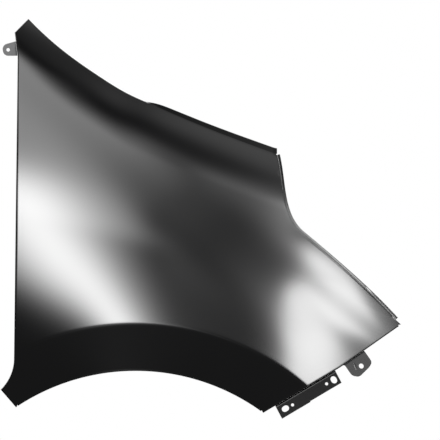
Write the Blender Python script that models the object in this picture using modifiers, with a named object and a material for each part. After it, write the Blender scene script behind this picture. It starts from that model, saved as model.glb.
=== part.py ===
"""Front fender of a van, for the right-hand side: one pressed outer panel and three small brackets.

The panel is a compound-curved sheet with folded flanges along every edge. It is laid out in the
plane of the side view, with the wheel centre as the zero of length and height, and each point is
then pushed inboard by the depth of the outer surface there. The brackets are bent strips, spot
welded under the panel's flanges.

+X points to the front of the vehicle, +Y inboard and +Z up. The origin of the finished part is the
seat of the front bolt pad on the hood flange. Lengths are in metres and angles in degrees.
"""
import math

import bmesh
import bpy
from mathutils import Matrix, Vector
from mathutils.geometry import interpolate_bezier

# Sheet
SHEET = 0.0008
FOLD_RADIUS = 0.0025
SEAT_GAP = 0.0003

# Wheel opening and the crease above it, as arcs about the wheel centre
ARCH_RADIUS = 0.400
BAND_WIDTH = 0.089
CREASE_RADIUS = ARCH_RADIUS + BAND_WIDTH
ARCH_FRONT_ANGLE = 53.65
ARCH_REAR_ANGLE = 123.8
ARCH_FRONT_TURN = math.radians(ARCH_FRONT_ANGLE)
ARCH_REAR_TURN = math.radians(ARCH_REAR_ANGLE)
ARCH_FRONT = (ARCH_RADIUS * math.cos(ARCH_FRONT_TURN), ARCH_RADIUS * math.sin(ARCH_FRONT_TURN))
ARCH_REAR = (ARCH_RADIUS * math.cos(ARCH_REAR_TURN), ARCH_RADIUS * math.sin(ARCH_REAR_TURN))

# Foot behind the wheel opening, in steps from the opening's rear end, and the door edge above it
FOOT_STEP = (-0.0286, 0.0329)
FOOT_CORNER = (ARCH_REAR[0] + FOOT_STEP[0], ARCH_REAR[1] + FOOT_STEP[1])
DOOR_FOOT_STEP = (0.0250, 0.0588)
DOOR_EDGE_FOOT = (FOOT_CORNER[0] + DOOR_FOOT_STEP[0], FOOT_CORNER[1] + DOOR_FOOT_STEP[1])
FOOT_ARC_RADIUS = 0.080
DOOR_EDGE_TOP = (-0.2194, 0.9850)
SHOULDER_CORNER = (-0.2249, 1.0295)
HOOD_REAR_X = -0.1994

# Hood edge: a straight fall that eases out of a steeper sweep at the rear, with a shallow dip
HOOD_LINE_HEIGHT = 0.8867
HOOD_LINE_SLOPE = 0.334
HOOD_SWEEP_RISE = 0.0244
HOOD_SWEEP_LENGTH = 0.1397
HOOD_DIP = 0.0030
HOOD_DIP_X = -0.020
HOOD_DIP_WIDTH = 0.045
HOOD_FRONT_X = 0.2640

# Bumper edge: two straight runs from the opening's front end, each with a bracket hung from it
BUMPER_REAR_RUN = (0.1429, 0.0845)
BUMPER_FRONT_RUN = (0.1136, 0.0797)
BUMPER_KNEE = (ARCH_FRONT[0] + BUMPER_REAR_RUN[0], ARCH_FRONT[1] + BUMPER_REAR_RUN[1])
FRONT_TIP = (BUMPER_KNEE[0] + BUMPER_FRONT_RUN[0], BUMPER_KNEE[1] + BUMPER_FRONT_RUN[1])

# Headlamp edge: a steep upper run, then a long run down to the tip
LAMP_BEND = (0.3058, 0.6594)
LAMP_UPPER_PULL = ((0.2765, 0.7493), (0.2699, 0.6952))
LAMP_PULL_FROM_BEND = (0.0642, -0.0534)
LAMP_PULL_FROM_TIP = (-0.0576, 0.0646)
LAMP_LOWER_PULL = ((LAMP_BEND[0] + LAMP_PULL_FROM_BEND[0], LAMP_BEND[1] + LAMP_PULL_FROM_BEND[1]),
                   (FRONT_TIP[0] + LAMP_PULL_FROM_TIP[0], FRONT_TIP[1] + LAMP_PULL_FROM_TIP[1]))

# Outer surface: depth inboard, as curvatures about a level line across the panel
LEVEL_HEIGHT = 0.750
FORWARD_TAPER = 0.110
PLAN_RADIUS = 1.305
PLAN_RADIUS_CHANGE = -0.770
LEAN = 0.200
BARREL_RADIUS = 0.553
BARREL_RADIUS_CHANGE = -1.264
TWIST = 0.085
SHOULDER_DROP = 0.0980
SHOULDER_RADIUS = 0.2325

# Swelling of the surface above the crease, which dies out to the rear
FLARE_HEIGHT = 0.0092
FLARE_REACH = 0.0694
FLARE_REAR_X = -0.110
FLARE_FADE = 0.084

# Tuck of the band between the crease and the wheel opening, as a slope
TUCK = 0.60

# Broad hollow that runs down to the front, and the narrower groove beside it by the headlamp edge
HOLLOW_POINT = (0.346, 0.511)
HOLLOW_ANGLE = 48.7
HOLLOW_OFFSET = -0.0240
HOLLOW_DEPTH = 0.00241
HOLLOW_WIDTH = 0.0598
GROOVE_ANGLE = 51.2
GROOVE_OFFSET = 0.0129
GROOVE_DEPTH = 0.00242
GROOVE_WIDTH = 0.0349
GROOVE_START = -0.0569
GROOVE_FADE = 0.050

# Flanges
ARCH_LIP = 0.016
DOOR_RETURN = 0.014
BUMPER_RETURN = 0.013
LAMP_STEP = 0.0045
LAMP_LEDGE = 0.0034
LAMP_EDGE_TURN = 0.0012
HOOD_LEDGE = 0.024
HOOD_RISER_RUN = 0.0066
HOOD_RISER_FRONT = 0.0111
HOOD_RISER_TAPER = 0.013
HOOD_RISER_REAR = -0.004
HOOD_RISER_CHANGE_X = 0.0235
HOOD_RISER_BLEND = 0.022
HOOD_FOLD_RUN = 0.0016
HOOD_FOLD_SHARE = 0.22
HOOD_FRONT_RELIEF = 0.0032
HOOD_FRONT_REACH = 0.0016
CORNER_RELIEF = 0.005
LAMP_LEDGE_RELIEF = 0.0135

# Holes in the flanges
HOOD_BOLT_HOLE = 0.0090
HOOD_PAD_CENTRES = (-0.120, 0.090, 0.214)
HOOD_PAD_LENGTH = 0.056
HOOD_HOLE_INSET = 0.0132
PAD_SEAT_OFFSET = 0.015
DRILL_LENGTH = 0.012
CLIP_HOLE = 0.0065
CLIP_ANGLES = (64.0, 77.0, 90.0, 103.0, 116.0)
DOOR_BOLT_HOLE = 0.0070
DOOR_BOLT_HEIGHTS = (0.520, 0.800)

# Mesh of the panel
COLUMN_COUNT = 34
BUMPER_ROW_COUNT = 8
KNEE_ROW_COUNT = 3
LAMP_ROW_COUNT = 14
DOOR_TOP_ROW_COUNT = 2
CHAMFER_ROW_COUNT = 2
FOOT_ROW_COUNT = 2
FOOT_ARC_ROW_COUNT = 3

# Bumper bracket, measured from the front tip of the wheel opening along the bumper edge
BRACKET_SHEET = 0.0015
BRACKET_BEND_RADIUS = 0.0015
BRACKET_SETBACK = 0.0050
BRACKET_LEG = 0.0075
BUMPER_BRACKET_START = 0.0255
BUMPER_BRACKET_LENGTH = 0.1300
BUMPER_BRACKET_DROP = 0.0276
BUMPER_BRACKET_RAKE = 0.0020
BUMPER_BRACKET_LEAN = 18.0
BUMPER_BRACKET_STEP = 0.0014
BUMPER_BRACKET_STEP_AT = 0.0590
SLOT_LENGTH = 0.0140
SLOT_WIDTH = 0.0108
PILOT_HOLE = 0.0058
REAR_SLOT = (0.0133, 0.0145)
REAR_PILOT = (0.0283, 0.0153)
FRONT_PILOT = (0.1032, 0.0138)
FRONT_SLOT = (0.1186, 0.0142)

# Headlamp tab, measured from the knee of the bumper edge
LAMP_TAB_START = 0.0117
LAMP_TAB_WIDTH = 0.0475
LAMP_TAB_DROP = 0.0345
LAMP_TAB_REAR_DROP = 0.0255
LAMP_TAB_FRONT_DROP = 0.0265
LAMP_TAB_CORNER = 0.0100
LAMP_TAB_FRONT_RADIUS = 0.0085
LAMP_TAB_LOWER_RADIUS = 0.0250
LAMP_TAB_REAR_RADIUS = 0.0110
LAMP_TAB_HOLE = 0.0098
LAMP_TAB_HOLE_AT = (0.0256, 0.0208)
BEAD_LENGTH = 0.0170
BEAD_WIDTH = 0.0052
BEAD_HEIGHT = 0.0012
BEAD_SINK = 0.0002
BEAD_AT = (0.0150, 0.0150)
BEAD_LEAN = 14.0

# Hinge pillar tab, measured down the door edge from the shoulder corner
PILLAR_TAB_START = 0.0164
PILLAR_TAB_WIDTH = 0.0272
PILLAR_TAB_HOLE = 0.0066
PILLAR_TAB_HOLE_AT = (0.0141, 0.0160)
PILLAR_TAB_END_RADIUS = 0.0100
PILLAR_TAB_CORNER = 0.0098

COAT_COLOUR = (0.006, 0.006, 0.0065, 1.0)
PANEL_ROUGHNESS = 0.35
BRACKET_ROUGHNESS = 0.40
COLLECTION = "van_front_fender"


def clear_scene():
    for item in list(bpy.data.objects):
        bpy.data.objects.remove(item, do_unlink=True)


def add_collection(name):
    group = bpy.data.collections.new(name)
    bpy.context.scene.collection.children.link(group)
    return group


def coat_material(name, roughness):
    material = bpy.data.materials.new(name)
    material.use_nodes = True
    shader = material.node_tree.nodes["Principled BSDF"]
    shader.inputs["Base Color"].default_value = COAT_COLOUR
    shader.inputs["Metallic"].default_value = 0.0
    shader.inputs["Roughness"].default_value = roughness
    return material


def blend(value, centre, width):
    """Goes smoothly from 0 to 1 round the centre."""
    return 0.5 * (1 + math.tanh((value - centre) / width))


def hood_height(x):
    """Height of the hood edge, drawn on past its front corner as a straight line."""
    inside = min(x, HOOD_FRONT_X)
    sweep = HOOD_SWEEP_RISE * math.exp(-inside / HOOD_SWEEP_LENGTH)
    dip = HOOD_DIP * math.exp(-((inside - HOOD_DIP_X) / HOOD_DIP_WIDTH) ** 2)
    slope = -HOOD_LINE_SLOPE - sweep / HOOD_SWEEP_LENGTH
    height = HOOD_LINE_HEIGHT - HOOD_LINE_SLOPE * inside + sweep - dip
    return height + slope * (x - inside)


def hollow_place(x, z, angle):
    """How far a point of the side view lies along and off a line that runs down to the front."""
    down = math.radians(90 - angle)
    along = (x - HOLLOW_POINT[0]) * math.cos(down) - (z - HOLLOW_POINT[1]) * math.sin(down)
    off = (x - HOLLOW_POINT[0]) * math.sin(down) + (z - HOLLOW_POINT[1]) * math.cos(down)
    return along, off


def body_depth(x, z):
    """Depth of the outer surface above the crease."""
    rise = z - LEVEL_HEIGHT
    plan = 0.5 / PLAN_RADIUS + PLAN_RADIUS_CHANGE * rise
    barrel = 0.5 / BARREL_RADIUS + BARREL_RADIUS_CHANGE * x
    depth = FORWARD_TAPER * x + plan * x * x + LEAN * rise + barrel * rise * rise + TWIST * x * rise

    into_shoulder = max(SHOULDER_DROP - (hood_height(x) - z), 0.0)
    depth += into_shoulder ** 2 / (2 * SHOULDER_RADIUS)

    above_crease = math.hypot(x, z) - CREASE_RADIUS
    swell = FLARE_HEIGHT * math.exp(-above_crease / FLARE_REACH)
    depth -= swell * blend(x, FLARE_REAR_X, FLARE_FADE)

    _, off = hollow_place(x, z, HOLLOW_ANGLE)
    depth += HOLLOW_DEPTH * math.exp(-((off - HOLLOW_OFFSET) / HOLLOW_WIDTH) ** 2)
    along, off = hollow_place(x, z, GROOVE_ANGLE)
    groove = GROOVE_DEPTH * math.exp(-((off - GROOVE_OFFSET) / GROOVE_WIDTH) ** 2)
    return depth + groove * blend(along, GROOVE_START, GROOVE_FADE)


def skin_depth(x, z):
    """Depth of the outer surface anywhere: below the crease it tucks in at a steady slope."""
    radius = math.hypot(x, z)
    below = max(CREASE_RADIUS - radius, 0.0)
    scale = max(CREASE_RADIUS / radius, 1.0)
    return body_depth(x * scale, z * scale) + TUCK * below


def skin(point):
    """The point of the outer surface that the side view shows at a length and height."""
    x, z = point
    return Vector((x, skin_depth(x, z), z))


def on_circle(radius, angle):
    return Vector((radius * math.cos(math.radians(angle)), radius * math.sin(math.radians(angle))))


def angle_of(point):
    return math.degrees(math.atan2(point[1], point[0]))


def line_meets_circle(start, end, radius):
    """The first point on the line from start to end that lies on a circle about the wheel centre."""
    start = Vector(start)
    along = (Vector(end) - start).normalized()
    lead = start.dot(along)
    step = -lead + math.sqrt(lead * lead - start.length_squared + radius * radius)
    return start + along * step


def spread(path, count):
    """Points at even distances along a path of 2D points, both ends included."""
    lengths = [0.0]
    for before, after in zip(path, path[1:]):
        lengths.append(lengths[-1] + (after - before).length)
    points = []
    for number in range(count + 1):
        target = lengths[-1] * number / count
        place = max(k for k in range(len(path) - 1) if lengths[k] <= target or k == 0)
        share = (target - lengths[place]) / (lengths[place + 1] - lengths[place])
        points.append(path[place].lerp(path[place + 1], share))
    return points


def relieved(path, count, before=0.0, after=0.0):
    """Points spread along a path, with a short first or last step where one is asked for."""
    length = sum((b - a).length for a, b in zip(path, path[1:]))
    fine = spread(path, 400)
    first = round(400 * before / length)
    last = 400 - round(400 * after / length)
    points = spread(fine[first:last + 1], count)
    return fine[:1] * (first > 0) + points + fine[-1:] * (last < 400)


def bezier_path(start, pulls, end):
    corners = [Vector((p[0], p[1], 0.0)) for p in (start, pulls[0], pulls[1], end)]
    return [Vector((p.x, p.y)) for p in interpolate_bezier(*corners, 60)]


def foot_arc():
    """The hollow arc from the foot corner up to the door edge."""
    start = Vector(FOOT_CORNER)
    end = Vector(DOOR_EDGE_FOOT)
    chord = end - start
    left = Vector((-chord.y, chord.x)).normalized()
    centre = start + chord / 2 + left * math.sqrt(FOOT_ARC_RADIUS ** 2 - chord.length_squared / 4)
    first = angle_of(start - centre)
    sweep = angle_of(end - centre) - first
    return [centre + on_circle(FOOT_ARC_RADIUS, first + sweep * k / 20) for k in range(21)]


def outline():
    """The corners and edges of the panel in the side view."""
    arch_front = Vector(ARCH_FRONT)
    arch_rear = Vector(ARCH_REAR)
    crease_front = line_meets_circle(arch_front, BUMPER_KNEE, CREASE_RADIUS)
    crease_rear = line_meets_circle(DOOR_EDGE_FOOT, DOOR_EDGE_TOP, CREASE_RADIUS)
    hood_rear = Vector((HOOD_REAR_X, hood_height(HOOD_REAR_X)))
    hood_front = Vector((HOOD_FRONT_X, hood_height(HOOD_FRONT_X)))
    tip = Vector(FRONT_TIP)

    hood = [Vector((x, hood_height(x))) for x in
            (HOOD_REAR_X + (HOOD_FRONT_X - HOOD_REAR_X) * k / 80 for k in range(81))]
    upper = bezier_path(hood_front, LAMP_UPPER_PULL, LAMP_BEND)
    lower = bezier_path(LAMP_BEND, LAMP_LOWER_PULL, FRONT_TIP)
    return {
        "arch": arc_path(ARCH_RADIUS, arch_rear, arch_front),
        "crease": arc_path(CREASE_RADIUS, crease_rear, crease_front),
        "hood": hood,
        "foot": [arch_rear, Vector(FOOT_CORNER)],
        "foot_arc": foot_arc(),
        "door_foot": [Vector(DOOR_EDGE_FOOT), crease_rear],
        "door": [crease_rear, Vector(DOOR_EDGE_TOP), Vector(SHOULDER_CORNER)],
        "chamfer": [Vector(SHOULDER_CORNER), hood_rear],
        "band_bumper": [arch_front, crease_front],
        "bumper": [crease_front, Vector(BUMPER_KNEE), tip],
        "lamp": list(reversed(upper + lower[1:])),
    }


def arc_path(radius, start, end):
    first = angle_of(start)
    sweep = angle_of(end) - first
    return [on_circle(radius, first + sweep * k / 80) for k in range(81)]


def coons(bottom, top, left, right):
    """Fills four rows of boundary points with a net of 2D points, as net[row][column]."""
    rows = len(left) - 1
    columns = len(bottom) - 1
    net = []
    for j in range(rows + 1):
        v = j / rows
        line = []
        for i in range(columns + 1):
            u = i / columns
            ruled = bottom[i] * (1 - v) + top[i] * v + left[j] * (1 - u) + right[j] * u
            corners = (bottom[0] * (1 - u) + bottom[-1] * u) * (1 - v)
            corners += (top[0] * (1 - u) + top[-1] * u) * v
            line.append(ruled - corners)
        net.append(line)
    return net


def panel_net():
    """All the side-view points of the skin, row by row from the wheel opening to the hood edge."""
    edges = outline()
    relief = CORNER_RELIEF
    arch = relieved(edges["arch"], COLUMN_COUNT, relief, relief)
    crease = relieved(edges["crease"], COLUMN_COUNT, relief, relief)
    hood = relieved(edges["hood"], COLUMN_COUNT, relief, HOOD_FRONT_RELIEF)

    band_left = spread(edges["foot"], FOOT_ROW_COUNT)[:-1] + spread(edges["foot_arc"], FOOT_ARC_ROW_COUNT)
    band_left += edges["door_foot"][1:]
    band_right = spread(edges["band_bumper"], len(band_left) - 1)
    band = coons(arch, crease, band_left, band_right)

    right = spread(edges["bumper"][:2], KNEE_ROW_COUNT)[:-1]
    right += relieved(edges["bumper"][1:], BUMPER_ROW_COUNT - KNEE_ROW_COUNT, 0.0, relief)[:-1]
    right += relieved(edges["lamp"], LAMP_ROW_COUNT, LAMP_LEDGE_RELIEF, 0.0)
    door_rows = len(right) - 1 - DOOR_TOP_ROW_COUNT - CHAMFER_ROW_COUNT
    left = spread(edges["door"][:2], door_rows)[:-1]
    left += spread(edges["door"][1:], DOOR_TOP_ROW_COUNT)[:-1]
    left += spread(edges["chamfer"], CHAMFER_ROW_COUNT)
    main = coons(crease, hood, left, right)
    return band + main[1:], len(band) - 1


def edge_outward(path, number):
    """Side-view direction out of the panel at a boundary point, with the panel on its left."""
    before = path[max(number - 1, 0)]
    after = path[min(number + 1, len(path) - 1)]
    along = (after - before).normalized()
    return Vector((along.y, -along.x))


def boundary_runs(net, crease_row):
    """The flanged stretches of the boundary, each as (row, column) places, the panel on its left."""
    last_row = len(net) - 1
    last_column = len(net[0]) - 1
    tip_row = crease_row + BUMPER_ROW_COUNT + 1
    return {
        "arch": [(0, i) for i in range(1, last_column)],
        "bumper": [(j, last_column) for j in range(0, tip_row)],
        "lamp": [(j, last_column) for j in range(tip_row + 1, last_row + 1)],
        "hood": [(last_row, i) for i in range(last_column - 1, 0, -1)],
        "door": [(j, 0) for j in range(last_row, -1, -1)],
    }


def simple_return(depth):
    """Steps of a flange that folds inboard, as (outward, inboard) distances from the skin's edge."""
    slack = FOLD_RADIUS * (1 - math.sqrt(0.5))
    return [(FOLD_RADIUS - slack, slack), (FOLD_RADIUS, FOLD_RADIUS), (FOLD_RADIUS, depth)]


def bumper_return_depth(point):
    """Depth of the bumper flange's inner edge, which is straight from corner to corner."""
    corners = [Vector(ARCH_FRONT), Vector(BUMPER_KNEE), Vector(FRONT_TIP)]
    start, end = corners[:2] if point.x <= BUMPER_KNEE[0] else corners[1:]
    share = (point.x - start.x) / (end.x - start.x)
    return skin(start).lerp(skin(end), share).y + BUMPER_RETURN


def lamp_return():
    """Steps of the headlamp flange: a step inboard, a ledge that lies outward and a turned edge."""
    slack = FOLD_RADIUS * (1 - math.sqrt(0.5))
    out = FOLD_RADIUS
    return [(out - slack, slack), (out, FOLD_RADIUS), (out, LAMP_STEP), (out + slack, LAMP_STEP + slack),
            (out + LAMP_LEDGE, LAMP_STEP + 2 * slack),
            (out + LAMP_LEDGE + LAMP_EDGE_TURN, LAMP_STEP + 2 * slack + LAMP_EDGE_TURN)]


def hood_return(x):
    """Steps of the hood flange as (inboard, up): over the edge, along the riser, onto the ledge."""
    share = blend(x, HOOD_RISER_CHANGE_X, HOOD_RISER_BLEND)
    front = HOOD_RISER_FRONT - HOOD_RISER_TAPER * (HOOD_FRONT_X - x)
    rise = HOOD_RISER_REAR + (front - HOOD_RISER_REAR) * share
    near = HOOD_FOLD_RUN
    part_way = HOOD_FOLD_SHARE * rise
    return [(near, part_way), (HOOD_RISER_RUN - near, rise - part_way), (HOOD_RISER_RUN + near, rise),
            (HOOD_RISER_RUN + 2 * near, rise), (HOOD_RISER_RUN + HOOD_LEDGE, rise)]


def hood_pads(hood_row):
    """The columns between which the hood ledge is pressed flat, as (first, last) for each bolt."""
    pads = []
    for centre in HOOD_PAD_CENTRES:
        inside = [i for i, p in enumerate(hood_row) if abs(p.x - centre) < HOOD_PAD_LENGTH / 2]
        pads.append((inside[0], inside[-1]))
    return pads


def ledge_line(hood_row, column):
    """Side-view place of the ledge at a column: on the hood edge, or on a pad's straight line."""
    for first, last in hood_pads(hood_row):
        if first <= column <= last:
            share = (hood_row[column].x - hood_row[first].x) / (hood_row[last].x - hood_row[first].x)
            ends = [Vector((hood_row[k].x, hood_row[k].y + hood_return(hood_row[k].x)[-1][1]))
                    for k in (first, last)]
            return ends[0].lerp(ends[1], share)
    point = hood_row[column]
    return Vector((point.x, point.y + hood_return(point.x)[-1][1]))


def flange_places(name, net, run):
    """For each boundary vertex of a run, the places of the flange's steps."""
    path = [net[j][i] for j, i in run]
    steps = {"arch": simple_return(ARCH_LIP), "door": simple_return(DOOR_RETURN),
             "lamp": lamp_return()}
    places = []
    for number, point in enumerate(path):
        if name == "hood":
            depth = skin_depth(point.x, point.y)
            reach = HOOD_FRONT_REACH if number == 0 else 0.0
            line = ledge_line(net[-1], run[number][1])
            up = hood_return(point.x)
            spots = [Vector((point.x + reach, depth + y, point.y + z)) for y, z in up[:2]]
            spots += [Vector((line.x + reach, depth + y, line.y)) for y, z in up[2:]]
        else:
            outward = edge_outward(path, number)
            base = skin(point - outward * FOLD_RADIUS)
            if name == "bumper":
                steps[name] = simple_return(bumper_return_depth(point) - base.y)
            spots = [base + Vector((outward.x * o, y, outward.y * o)) for o, y in steps[name]]
        places.append(spots)
    return places


def inset_boundary(net, runs):
    """Draws the skin's edge back by the fold radius, so that the folds end on the true outline."""
    moved = {}
    for name in ("arch", "bumper", "lamp", "door"):
        path = [net[j][i] for j, i in runs[name]]
        for number, place in enumerate(runs[name]):
            moved[place] = path[number] - edge_outward(path, number) * FOLD_RADIUS
    return moved


def extrude_run(bm, run, places):
    """Pulls a flange out of a run of boundary vertices, one step at a time."""
    for step in range(len(places[0])):
        edges = [bm.edges.get((a, b)) for a, b in zip(run, run[1:])]
        made = bmesh.ops.extrude_edge_only(bm, edges=edges)["geom"]
        fresh = {item for item in made if isinstance(item, bmesh.types.BMVert)}
        run = [next(e.other_vert(v) for e in v.link_edges if e.other_vert(v) in fresh) for v in run]
        for vertex, spots in zip(run, places):
            vertex.co = spots[step]


def panel_mesh():
    """The open sheet of the panel: the skin from a grid, then a flange from each edge."""
    net, crease_row = panel_net()
    rows = len(net) - 1
    columns = len(net[0]) - 1
    runs = boundary_runs(net, crease_row)
    moved = inset_boundary(net, runs)

    bm = bmesh.new()
    bmesh.ops.create_grid(bm, x_segments=columns, y_segments=rows, size=1.0)
    grid = {}
    for vertex in bm.verts:
        place = (round((vertex.co.y + 1) / 2 * rows), round((vertex.co.x + 1) / 2 * columns))
        grid[place] = vertex
    for place, vertex in grid.items():
        vertex.co = skin(moved.get(place, net[place[0]][place[1]]))

    for name, run in runs.items():
        extrude_run(bm, [grid[place] for place in run], flange_places(name, net, run))
    bmesh.ops.recalc_face_normals(bm, faces=bm.faces)
    bm.faces.ensure_lookup_table()
    if bm.faces[0].normal.y > 0:
        bmesh.ops.reverse_faces(bm, faces=bm.faces)

    mesh = bpy.data.meshes.new("fender_panel")
    bm.to_mesh(mesh)
    bm.free()
    mesh.shade_smooth()
    mesh.set_sharp_from_angle(angle=math.radians(30))
    return mesh, net


def hole_cutter(bm, place, direction, diameter):
    """Adds a drill of the given diameter, centred on the place."""
    turn = Vector(direction).to_track_quat("Z", "Y").to_matrix().to_4x4()
    bmesh.ops.create_cone(bm, cap_ends=True, segments=16, radius1=diameter / 2, radius2=diameter / 2,
                          depth=DRILL_LENGTH, matrix=Matrix.Translation(place) @ turn)


def hood_pad_frame(net, pad):
    """Centre of a pad's top face, its length direction and its normal."""
    ends = []
    for column in pad:
        edge = net[-1][column]
        line = ledge_line(net[-1], column)
        ends.append(Vector((line.x, skin_depth(edge.x, edge.y), line.y)))
    along = (ends[1] - ends[0]).normalized()
    normal = along.cross(Vector((0.0, 1.0, 0.0))).normalized()
    to_hole = Vector((0.0, HOOD_RISER_RUN + HOOD_HOLE_INSET, 0.0))
    return (ends[0] + ends[1]) / 2 + to_hole, along, normal


def front_seat(net):
    """The origin of the part: under the front hood pad, beside its bolt hole."""
    centre, along, normal = hood_pad_frame(net, hood_pads(net[-1])[-1])
    return centre - along * PAD_SEAT_OFFSET - normal * SHEET


def add_cutter(name, bm, group, frame):
    mesh = bpy.data.meshes.new(name)
    bm.to_mesh(mesh)
    bm.free()
    cutter = bpy.data.objects.new(name, mesh)
    group.objects.link(cutter)
    cutter.parent = frame
    cutter.hide_render = True
    cutter.display_type = "WIRE"
    return cutter


def flange_hole_cutter(net, group, frame):
    """All the drills for the holes in the panel's flanges."""
    bm = bmesh.new()
    for pad in hood_pads(net[-1]):
        centre, _, normal = hood_pad_frame(net, pad)
        hole_cutter(bm, centre, normal, HOOD_BOLT_HOLE)
    for angle in CLIP_ANGLES:
        edge = on_circle(ARCH_RADIUS, angle)
        depth = skin_depth(edge.x, edge.y) + (FOLD_RADIUS + ARCH_LIP) / 2
        hole_cutter(bm, Vector((edge.x, depth, edge.y)), Vector((edge.x, 0.0, edge.y)), CLIP_HOLE)
    for height in DOOR_BOLT_HEIGHTS:
        x = door_edge_x(height)
        depth = skin_depth(x, height) + (FOLD_RADIUS + DOOR_RETURN) / 2
        hole_cutter(bm, Vector((x, depth, height)), Vector((1.0, 0.0, 0.0)), DOOR_BOLT_HOLE)
    return add_cutter("flange_drills", bm, group, frame)


def door_edge_x(height):
    share = (height - DOOR_EDGE_FOOT[1]) / (DOOR_EDGE_TOP[1] - DOOR_EDGE_FOOT[1])
    return DOOR_EDGE_FOOT[0] + (DOOR_EDGE_TOP[0] - DOOR_EDGE_FOOT[0]) * share


def build_panel(group, cutters, frame):
    mesh, net = panel_mesh()
    panel = bpy.data.objects.new("fender_panel", mesh)
    group.objects.link(panel)
    panel.parent = frame
    panel.data.materials.append(coat_material("panel_coat", PANEL_ROUGHNESS))
    shell = panel.modifiers.new("sheet", "SOLIDIFY")
    shell.thickness = SHEET
    shell.offset = -1.0
    drill = panel.modifiers.new("flange_holes", "BOOLEAN")
    drill.operation = "DIFFERENCE"
    drill.solver = "EXACT"
    drill.object = flange_hole_cutter(net, cutters, frame)
    return panel


def rounded_outline(corners, segments=4):
    """A closed outline from (x, y, radius) corners, with an arc at each corner that has a radius."""
    points = []
    for number, (x, y, radius) in enumerate(corners):
        here = Vector((x, y))
        if radius == 0:
            points.append(here)
            continue
        back = (Vector(corners[number - 1][:2]) - here).normalized()
        onward = (Vector(corners[(number + 1) % len(corners)][:2]) - here).normalized()
        half = back.angle(onward) / 2
        centre = here + (back + onward).normalized() * radius / math.sin(half)
        start = here + back * radius / math.tan(half) - centre
        sweep = start.angle_signed(here + onward * radius / math.tan(half) - centre)
        for step in range(segments + 1):
            turned = start.copy()
            turned.rotate(Matrix.Rotation(-sweep * step / segments, 2))
            points.append(centre + turned)
    return points


def slot_outline(centre, length, width, across=False):
    """A slot with round ends; a slot as long as it is wide is a round hole."""
    half = (length - width) / 2
    points = []
    for end in (0, 1):
        for step in range(9):
            angle = math.radians(-90 + 180 * end + 180 * step / 8)
            reach = half if end == 0 else -half
            points.append((reach + width / 2 * math.cos(angle), width / 2 * math.sin(angle)))
    if half < 1e-6:
        points = points[:8] + points[9:17]
    if across:
        points = [(y, x) for x, y in points]
    return [Vector((centre[0] + x, centre[1] + y)) for x, y in points]


def extruded_outline(name, outlines, thickness, matrix, group, frame):
    """A mesh prism from a flat outline with holes, centred on the plane of the matrix."""
    curve = bpy.data.curves.new(name, "CURVE")
    curve.dimensions = "2D"
    curve.fill_mode = "BOTH"
    curve.extrude = thickness / 2
    for outline_points in outlines:
        spline = curve.splines.new("POLY")
        spline.points.add(len(outline_points) - 1)
        for place, point in zip(spline.points, outline_points):
            place.co = (point.x, point.y, 0.0, 1.0)
        spline.use_cyclic_u = True
    flat = bpy.data.objects.new(name + "_curve", curve)
    group.objects.link(flat)
    bpy.context.view_layer.update()
    mesh = bpy.data.meshes.new_from_object(flat.evaluated_get(bpy.context.evaluated_depsgraph_get()))
    bpy.data.objects.remove(flat, do_unlink=True)

    bm = bmesh.new()
    bm.from_mesh(mesh)
    bmesh.ops.remove_doubles(bm, verts=bm.verts, dist=1e-6)
    bmesh.ops.recalc_face_normals(bm, faces=bm.faces)
    bm.to_mesh(mesh)
    bm.free()
    solid = bpy.data.objects.new(name, mesh)
    group.objects.link(solid)
    solid.parent = frame
    solid.matrix_basis = matrix
    return solid


def bracket_axes(start, end, begin, length):
    """Place on the line that joins two corners of the edge, and its directions along the edge,
    out of the panel and inboard."""
    ends = (skin(start), skin(end))
    run = (Vector(end) - Vector(start)).length
    near = ends[0].lerp(ends[1], begin / run)
    far = ends[0].lerp(ends[1], (begin + length) / run)
    along = (far - near).normalized()
    outward = Vector((along.z, 0.0, -along.x)).normalized()
    return near, along, outward, along.cross(outward)


def upright_axes(start, end, begin, length):
    """As bracket_axes, for a plate that stands upright, at the edge's depth half way along it."""
    step = (Vector(end) - Vector(start)).normalized()
    near = Vector(start) + step * begin
    middle = skin(near + step * length / 2)
    place = Vector((near.x, middle.y, near.y))
    return place, Vector((step.x, 0.0, step.y)), Vector((step.y, 0.0, -step.x)), Vector((0.0, 1.0, 0.0))


def columns_matrix(place, x_axis, y_axis, z_axis):
    turn = Matrix((x_axis, y_axis, z_axis)).transposed().to_4x4()
    return Matrix.Translation(place) @ turn


def plate_depth(outward, lean):
    """How far inboard of the panel's edge the outer face of a bracket's plate lies."""
    return BRACKET_SETBACK + (outward - SEAT_GAP) * math.tan(math.radians(lean))


def bent_section(drop, lean):
    """Section of a bracket as (outward, inboard): a leg along the flange and a plate that drops."""
    sheet = BRACKET_SHEET
    across = sheet / math.cos(math.radians(lean))
    inner = SEAT_GAP + sheet
    leg_end = BRACKET_SETBACK + BRACKET_LEG
    return rounded_outline([
        (SEAT_GAP, leg_end, 0),
        (SEAT_GAP, plate_depth(SEAT_GAP, lean), BRACKET_BEND_RADIUS + sheet),
        (drop, plate_depth(drop, lean), 0),
        (drop, plate_depth(drop, lean) + across, 0),
        (inner, plate_depth(inner, lean) + across, BRACKET_BEND_RADIUS),
        (inner, leg_end, 0)])


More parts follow.
